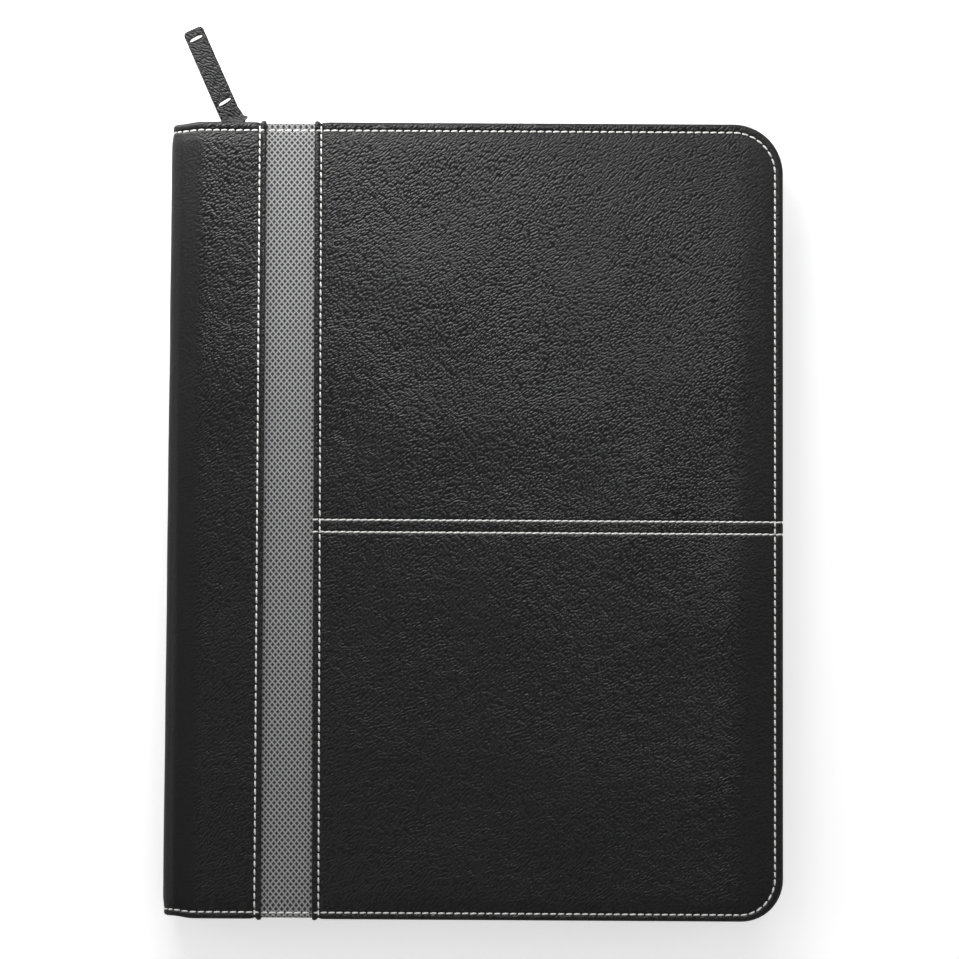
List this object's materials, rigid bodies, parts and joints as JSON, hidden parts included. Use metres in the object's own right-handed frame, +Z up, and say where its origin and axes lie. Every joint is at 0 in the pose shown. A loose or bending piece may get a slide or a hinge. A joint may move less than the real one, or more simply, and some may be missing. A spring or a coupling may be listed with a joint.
{
  "type": "padfolio",
  "caption": "Zip-around letter padfolio: folding leather covers, outside cloth pocket, zip with leather pull, and a writing pad and pockets inside.",
  "frame": {"origin": "middle of the back cover's flat underside", "axes": "+Z up through the front cover, +Y to the head, +X to the opening edge, spine at -X"},
  "size_m": [0.258, 0.3786, 0.0293],
  "materials": {
    "leather": "black pebbled leatherette, semi-matt",
    "inner_leather": "black smooth leatherette",
    "foam": "thin pale foam padding",
    "board": "grey-brown pressed board",
    "lining": "black woven lining",
    "zip_tape": "black woven zip tape",
    "zip_teeth": "black moulded zip teeth",
    "gunmetal": "black gunmetal plating",
    "grey_cloth": "grey woven cloth with a diamond lattice",
    "chipboard": "grey chipboard",
    "paper": "uncoated ruled writing paper",
    "binding_tape": "black coated binding tape",
    "elastic": "black elastic webbing"
  },
  "bodies": {
    "back": {"back_cover_leather": "leather", "back_foam": "foam", "back_board": "board", "back_lining": "lining", "pad_pocket_panel": "inner_leather", "pad_backing": "chipboard", "pad_sheets": "paper", "pad_binding": "binding_tape", "pen_loop": "elastic", "back_zip_tape": "zip_tape", "back_zip_teeth": "zip_teeth", "back_head_stop": "gunmetal", "back_foot_stop": "gunmetal"},
    "spine": {"spine_leather": "leather", "spine_board": "board", "spine_lining": "lining"},
    "front": {"front_flap_leather": "leather", "front_panel_leather": "leather", "front_pocket_fabric": "grey_cloth", "front_foam": "foam", "front_board": "board", "front_lining": "lining", "document_pocket": "inner_leather", "card_pocket_1": "inner_leather", "card_pocket_2": "inner_leather", "card_pocket_3": "inner_leather", "front_zip_tape": "zip_tape", "front_zip_teeth": "zip_teeth", "front_head_stop": "gunmetal", "front_foot_stop": "gunmetal"},
    "slider": {"zip_slider": "gunmetal", "zip_slider_crown": "gunmetal"},
    "pull": {"pull_tab": "leather"}
  },
  "joints": [
    {"name": "spine_fold", "type": "hinge", "parent": "back", "child": "spine", "pos_m": [-0.1284, 0, 0.0006], "axis": [0, -1, 0], "range_deg": [0, 90]},
    {"name": "cover_fold", "type": "hinge", "parent": "spine", "child": "front", "pos_m": [-0.1284, 0, 0.0282], "axis": [0, -1, 0], "range_deg": [0, 90]},
    {"name": "slider_run", "type": "slide", "parent": "back", "child": "slider", "axis": [1, 0, 0], "range_m": [0, 0.203], "deforming": ["back_zip_teeth", "front_zip_teeth"]},
    {"name": "pull_swing", "type": "hinge", "parent": "slider", "child": "pull", "pos_m": [-0.1043, 0.1663, 0.01395], "axis": [1, 0, 0], "range_deg": [-70, 70]}
  ]
}
